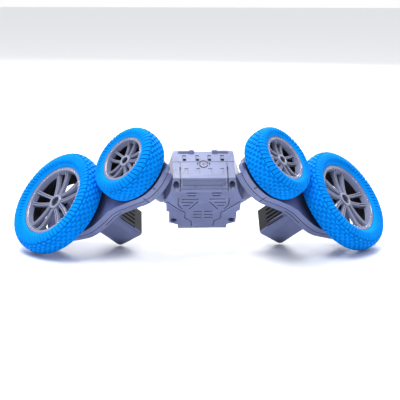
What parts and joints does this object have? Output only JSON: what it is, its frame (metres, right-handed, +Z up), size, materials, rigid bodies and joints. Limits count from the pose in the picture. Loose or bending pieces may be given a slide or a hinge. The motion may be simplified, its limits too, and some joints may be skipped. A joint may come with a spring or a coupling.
{
  "type": "rc stunt car",
  "caption": "Remote control stunt car with a central body, two swing arms on oblique axes and blue rubber wheels of two sizes driven by geared motors.",
  "frame": {"origin": "centre of the footprint on the ground the car stands on", "axes": "+X to the right across the car, seen from its front; +Z up; the front panel and the wheel faces look towards -Y"},
  "size_m": [0.3456, 0.1126, 0.1169],
  "materials": {
    "body_plastic": "satin",
    "panel_plastic": "satin",
    "arm_plastic": "satin",
    "tyre_blue": "matte",
    "rim_plastic": "gloss",
    "gear_plastic": "satin",
    "pinion_brass": "machined",
    "axle_steel": "ground",
    "screw_steel": "plated",
    "motor_steel": "plated",
    "battery_wrap": "shrink film",
    "contact_brass": "bright",
    "board_green": "solder mask",
    "switch_black": "satin"
  },
  "bodies": {
    "chassis": {"body_front_shell": "body_plastic", "body_rear_shell": "body_plastic", "front_panel": "panel_plastic", "battery_pack": "battery_wrap", "battery_contacts": "contact_brass", "circuit_board": "board_green", "power_switch": "switch_black", "body_screws": "screw_steel", "swivel_post_left": "body_plastic", "swivel_post_right": "body_plastic", "swivel_ring_left": "body_plastic", "swivel_ring_right": "body_plastic"},
    "door": {"battery_door": "body_plastic", "door_screw": "screw_steel"},
    "switch": {"switch_knob": "switch_black"},
    "arm_right": {"arm_outer_shell_right": "arm_plastic", "arm_inner_shell_right": "arm_plastic", "arm_screws_right": "screw_steel", "gear_pins_right": "axle_steel", "motor_housing_right": "arm_plastic", "motor_case_right": "motor_steel"},
    "big_wheel_right": {"big_tyre_right": "tyre_blue", "big_rim_right": "rim_plastic", "big_axle_right": "axle_steel", "big_wheel_screw_right": "screw_steel", "big_wheel_gear_right": "gear_plastic"},
    "small_wheel_right": {"small_tyre_right": "tyre_blue", "small_rim_right": "rim_plastic", "small_axle_right": "axle_steel", "small_wheel_screw_right": "screw_steel", "small_wheel_gear_right": "gear_plastic"},
    "idler_1_right": {"idler_gear_1_right": "gear_plastic"},
    "idler_2_right": {"idler_gear_2_right": "gear_plastic"},
    "idler_3_right": {"idler_gear_3_right": "gear_plastic"},
    "compound_right": {"compound_gear_right": "gear_plastic"},
    "rotor_right": {"motor_rotor_right": "motor_steel", "pinion_right": "pinion_brass"},
    "arm_left": {"arm_outer_shell_left": "arm_plastic", "arm_inner_shell_left": "arm_plastic", "arm_screws_left": "screw_steel", "gear_pins_left": "axle_steel", "motor_housing_left": "arm_plastic", "motor_case_left": "motor_steel"},
    "big_wheel_left": {"big_tyre_left": "tyre_blue", "big_rim_left": "rim_plastic", "big_axle_left": "axle_steel", "big_wheel_screw_left": "screw_steel", "big_wheel_gear_left": "gear_plastic"},
    "small_wheel_left": {"small_tyre_left": "tyre_blue", "small_rim_left": "rim_plastic", "small_axle_left": "axle_steel", "small_wheel_screw_left": "screw_steel", "small_wheel_gear_left": "gear_plastic"},
    "idler_1_left": {"idler_gear_1_left": "gear_plastic"},
    "idler_2_left": {"idler_gear_2_left": "gear_plastic"},
    "idler_3_left": {"idler_gear_3_left": "gear_plastic"},
    "compound_left": {"compound_gear_left": "gear_plastic"},
    "rotor_left": {"motor_rotor_left": "motor_steel", "pinion_left": "pinion_brass"}
  },
  "joints": [
    {"name": "door_hinge", "type": "hinge", "parent": "chassis", "child": "door", "pos_m": [0, -0.03216, 0.06544], "axis": [1, 0, 0], "range_deg": [0, 75]},
    {"name": "switch_slide", "type": "slide", "parent": "chassis", "child": "switch", "axis": [1, 0, 0], "range_m": [0, 0.004]},
    {"name": "swivel_right", "type": "hinge", "parent": "chassis", "child": "arm_right", "pos_m": [0.04836, -0.0114, 0.07035], "axis": [0.6428, -0.4769, 0.5995], "range_deg": [-90, 90]},
    {"name": "big_spin_right", "type": "hinge", "parent": "arm_right", "child": "big_wheel_right", "pos_m": [0.13019, 0.01021, 0.04317], "axis": [0.6428, -0.4769, 0.5995], "continuous": true},
    {"name": "small_spin_right", "type": "hinge", "parent": "arm_right", "child": "small_wheel_right", "pos_m": [0.05286, -0.01474, 0.07454], "axis": [0.6428, -0.4769, 0.5995], "continuous": true},
    {"name": "idler_3_spin_right", "type": "hinge", "parent": "arm_right", "child": "idler_3_right", "pos_m": [0.09882, 0.00927, 0.04436], "axis": [0.6428, -0.4769, 0.5995], "continuous": true},
    {"name": "idler_2_spin_right", "type": "hinge", "parent": "arm_right", "child": "idler_2_right", "pos_m": [0.0835, 0.00127, 0.05442], "axis": [0.6428, -0.4769, 0.5995], "continuous": true},
    {"name": "idler_1_spin_right", "type": "hinge", "parent": "arm_right", "child": "idler_1_right", "pos_m": [0.06818, -0.00674, 0.06448], "axis": [0.6428, -0.4769, 0.5995], "continuous": true},
    {"name": "compound_spin_right", "type": "hinge", "parent": "arm_right", "child": "compound_right", "pos_m": [0.10399, 0.00149, 0.03262], "axis": [0.6428, -0.4769, 0.5995], "continuous": true},
    {"name": "rotor_spin_right", "type": "hinge", "parent": "arm_right", "child": "rotor_right", "pos_m": [0.09614, 0.00396, 0.04301], "axis": [0.6428, -0.4769, 0.5995], "continuous": true},
    {"name": "swivel_left", "type": "hinge", "parent": "chassis", "child": "arm_left", "pos_m": [-0.04836, -0.0114, 0.07035], "axis": [-0.6428, -0.4769, 0.5995], "range_deg": [-90, 90]},
    {"name": "big_spin_left", "type": "hinge", "parent": "arm_left", "child": "big_wheel_left", "pos_m": [-0.13019, 0.01021, 0.04317], "axis": [-0.6428, -0.4769, 0.5995], "continuous": true},
    {"name": "small_spin_left", "type": "hinge", "parent": "arm_left", "child": "small_wheel_left", "pos_m": [-0.05286, -0.01474, 0.07454], "axis": [-0.6428, -0.4769, 0.5995], "continuous": true},
    {"name": "idler_3_spin_left", "type": "hinge", "parent": "arm_left", "child": "idler_3_left", "pos_m": [-0.09882, 0.00927, 0.04436], "axis": [-0.6428, -0.4769, 0.5995], "continuous": true},
    {"name": "idler_2_spin_left", "type": "hinge", "parent": "arm_left", "child": "idler_2_left", "pos_m": [-0.0835, 0.00127, 0.05442], "axis": [-0.6428, -0.4769, 0.5995], "continuous": true},
    {"name": "idler_1_spin_left", "type": "hinge", "parent": "arm_left", "child": "idler_1_left", "pos_m": [-0.06818, -0.00674, 0.06448], "axis": [-0.6428, -0.4769, 0.5995], "continuous": true},
    {"name": "compound_spin_left", "type": "hinge", "parent": "arm_left", "child": "compound_left", "pos_m": [-0.10399, 0.00149, 0.03262], "axis": [-0.6428, -0.4769, 0.5995], "continuous": true},
    {"name": "rotor_spin_left", "type": "hinge", "parent": "arm_left", "child": "rotor_left", "pos_m": [-0.09614, 0.00396, 0.04301], "axis": [-0.6428, -0.4769, 0.5995], "continuous": true}
  ],
  "couplings": [
    {"joint": "small_spin_right", "follows": "big_spin_right", "ratio": 1.5},
    {"joint": "idler_3_spin_right", "follows": "big_spin_right", "ratio": -1.5},
    {"joint": "idler_2_spin_right", "follows": "big_spin_right", "ratio": 1.5},
    {"joint": "idler_1_spin_right", "follows": "big_spin_right", "ratio": -1.5},
    {"joint": "compound_spin_right", "follows": "big_spin_right", "ratio": 3},
    {"joint": "rotor_spin_right", "follows": "big_spin_right", "ratio": -14.667},
    {"joint": "small_spin_left", "follows": "big_spin_left", "ratio": 1.5},
    {"joint": "idler_3_spin_left", "follows": "big_spin_left", "ratio": -1.5},
    {"joint": "idler_2_spin_left", "follows": "big_spin_left", "ratio": 1.5},
    {"joint": "idler_1_spin_left", "follows": "big_spin_left", "ratio": -1.5},
    {"joint": "compound_spin_left", "follows": "big_spin_left", "ratio": 3},
    {"joint": "rotor_spin_left", "follows": "big_spin_left", "ratio": -14.667}
  ]
}
